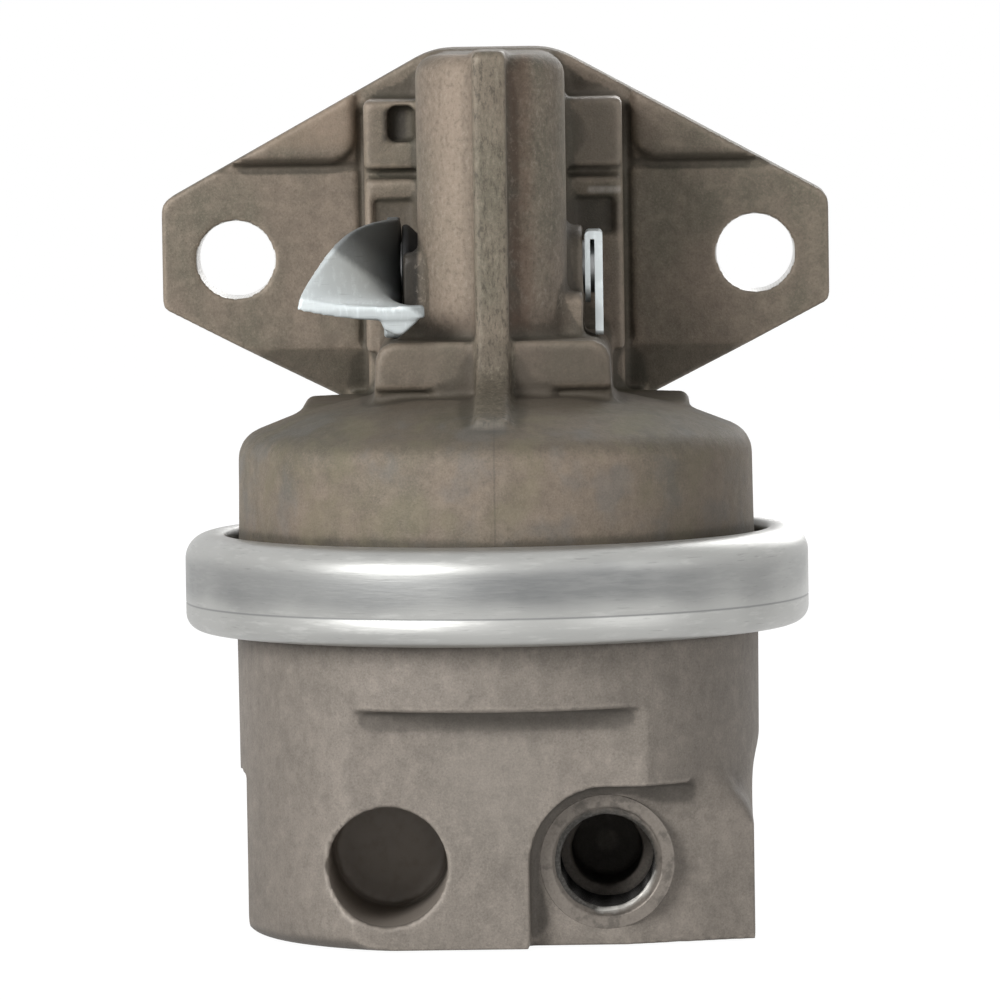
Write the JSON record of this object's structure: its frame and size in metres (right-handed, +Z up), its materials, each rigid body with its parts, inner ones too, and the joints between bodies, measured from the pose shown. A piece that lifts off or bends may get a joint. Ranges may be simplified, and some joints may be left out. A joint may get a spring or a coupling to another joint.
{
  "type": "fuel transfer pump",
  "caption": "Mechanical diaphragm fuel pump with a diamond-shaped bolted flange, rocker arm, hand primer lever, rolled clamp ring and two front ports.",
  "frame": {"origin": "middle of the two mounting bolt holes, on the flange's mating face", "axes": "+Y out of the mating face towards the engine, +Z up along the pump axis, +X to the right seen from the port side"},
  "size_m": [0.077, 0.1099, 0.0991],
  "materials": {
    "cast_upper": "as-cast, dull",
    "cast_lower": "as-cast, dull",
    "ring_zinc": "bright zinc",
    "arm_steel": "forged, phosphated",
    "bronze": "turned",
    "pin_steel": "ground",
    "plated_steel": "zinc passivated",
    "spring_steel": "drawn wire",
    "lever_zinc": "blue-white zinc",
    "seal_rubber": "moulded",
    "diaphragm_rubber": "fabric-reinforced",
    "valve_brass": "turned"
  },
  "bodies": {
    "casing": {"upper_body": "cast_upper", "lower_body": "cast_lower", "crimp_ring": "ring_zinc", "rocker_pin": "pin_steel", "primer_boot": "seal_rubber", "primer_seal": "seal_rubber", "rod_seal": "seal_rubber", "seal_retainer": "plated_steel", "diaphragm": "diaphragm_rubber", "diaphragm_spring": "spring_steel", "rocker_return_spring": "spring_steel", "inlet_valve_seat": "valve_brass", "inlet_valve_cage": "plated_steel", "inlet_valve_spring": "spring_steel", "outlet_valve_seat": "valve_brass", "outlet_valve_cage": "plated_steel", "outlet_valve_spring": "spring_steel"},
    "rocker": {"rocker_arm": "arm_steel", "rocker_bush": "bronze"},
    "plunger": {"diaphragm_rod": "pin_steel", "upper_plate": "plated_steel", "lower_plate": "plated_steel", "return_spring_seat": "plated_steel"},
    "primer": {"primer_shaft": "pin_steel", "primer_lever": "lever_zinc", "primer_end_plate": "lever_zinc"},
    "inlet_valve": {"inlet_valve_disc": "seal_rubber"},
    "outlet_valve": {"outlet_valve_disc": "seal_rubber"}
  },
  "joints": [
    {"name": "rocker_swing", "type": "hinge", "parent": "casing", "child": "rocker", "pos_m": [0, -0.014, 0.0053], "axis": [-1, 0, 0], "range_deg": [0, 9.5], "stiffness_Nm_per_rad": 12, "springref_deg": -5.73},
    {"name": "rod_lift", "type": "slide", "parent": "casing", "child": "plunger", "axis": [0, 0, 1], "range_m": [0, 0.004], "deforming": ["diaphragm_spring", "rocker_return_spring", "diaphragm"]},
    {"name": "primer_turn", "type": "hinge", "parent": "casing", "child": "primer", "pos_m": [0, -0.032, -0.0004], "axis": [-1, 0, 0], "range_deg": [0, 35], "stiffness_Nm_per_rad": 0.2, "springref_deg": -11.46},
    {"name": "inlet_valve_lift", "type": "slide", "parent": "casing", "child": "inlet_valve", "axis": [0, 0, 1], "range_m": [0, 0.0012], "stiffness_N_per_m": 40, "springref_m": -0.001, "deforming": ["inlet_valve_spring"]},
    {"name": "outlet_valve_lift", "type": "slide", "parent": "casing", "child": "outlet_valve", "axis": [0, 0, -1], "range_m": [0, 0.0012], "stiffness_N_per_m": 40, "springref_m": -0.001, "deforming": ["outlet_valve_spring"]}
  ],
  "couplings": [
    {"joint": "rod_lift", "follows": "rocker_swing", "m_per_rad": 0.024}
  ]
}
